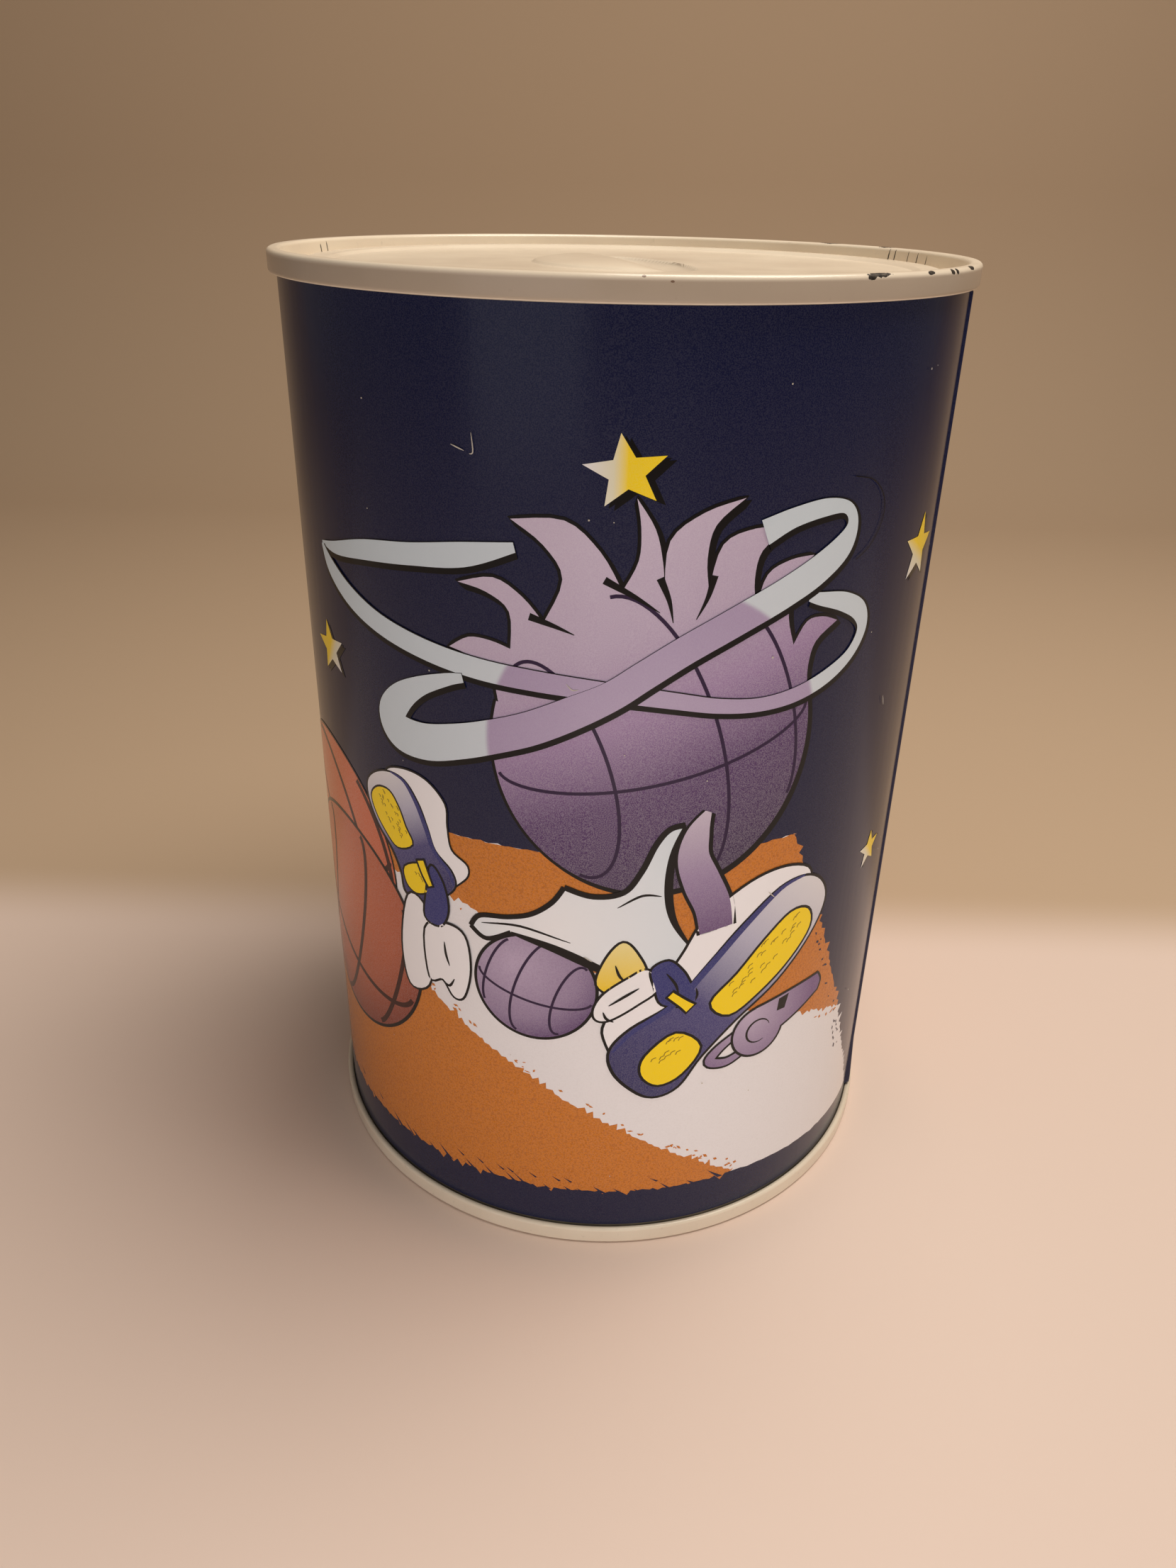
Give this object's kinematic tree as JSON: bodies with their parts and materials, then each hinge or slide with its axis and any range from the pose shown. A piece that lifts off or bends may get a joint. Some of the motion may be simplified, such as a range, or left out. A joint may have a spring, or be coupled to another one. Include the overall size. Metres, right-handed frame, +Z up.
{
  "type": "tin money box",
  "caption": "Round printed tinplate money box with a double-seamed lid and base, an outside lock seam and a lanced coin slot in the recessed lid.",
  "frame": {"origin": "centre of the base, on the surface the box stands on", "axes": "+Z up along the can's axis, -Y towards the front of the print, +X to the right seen from the front"},
  "size_m": [0.1016, 0.1016, 0.149],
  "materials": {
    "printed_tinplate": "gloss print and lacquer on tinplate",
    "cream_lacquer": "gloss off-white lacquer on tinplate"
  },
  "bodies": {
    "root": {"body_shell": "printed_tinplate", "top_end": "cream_lacquer", "bottom_end": "cream_lacquer"}
  },
  "joints": []
}
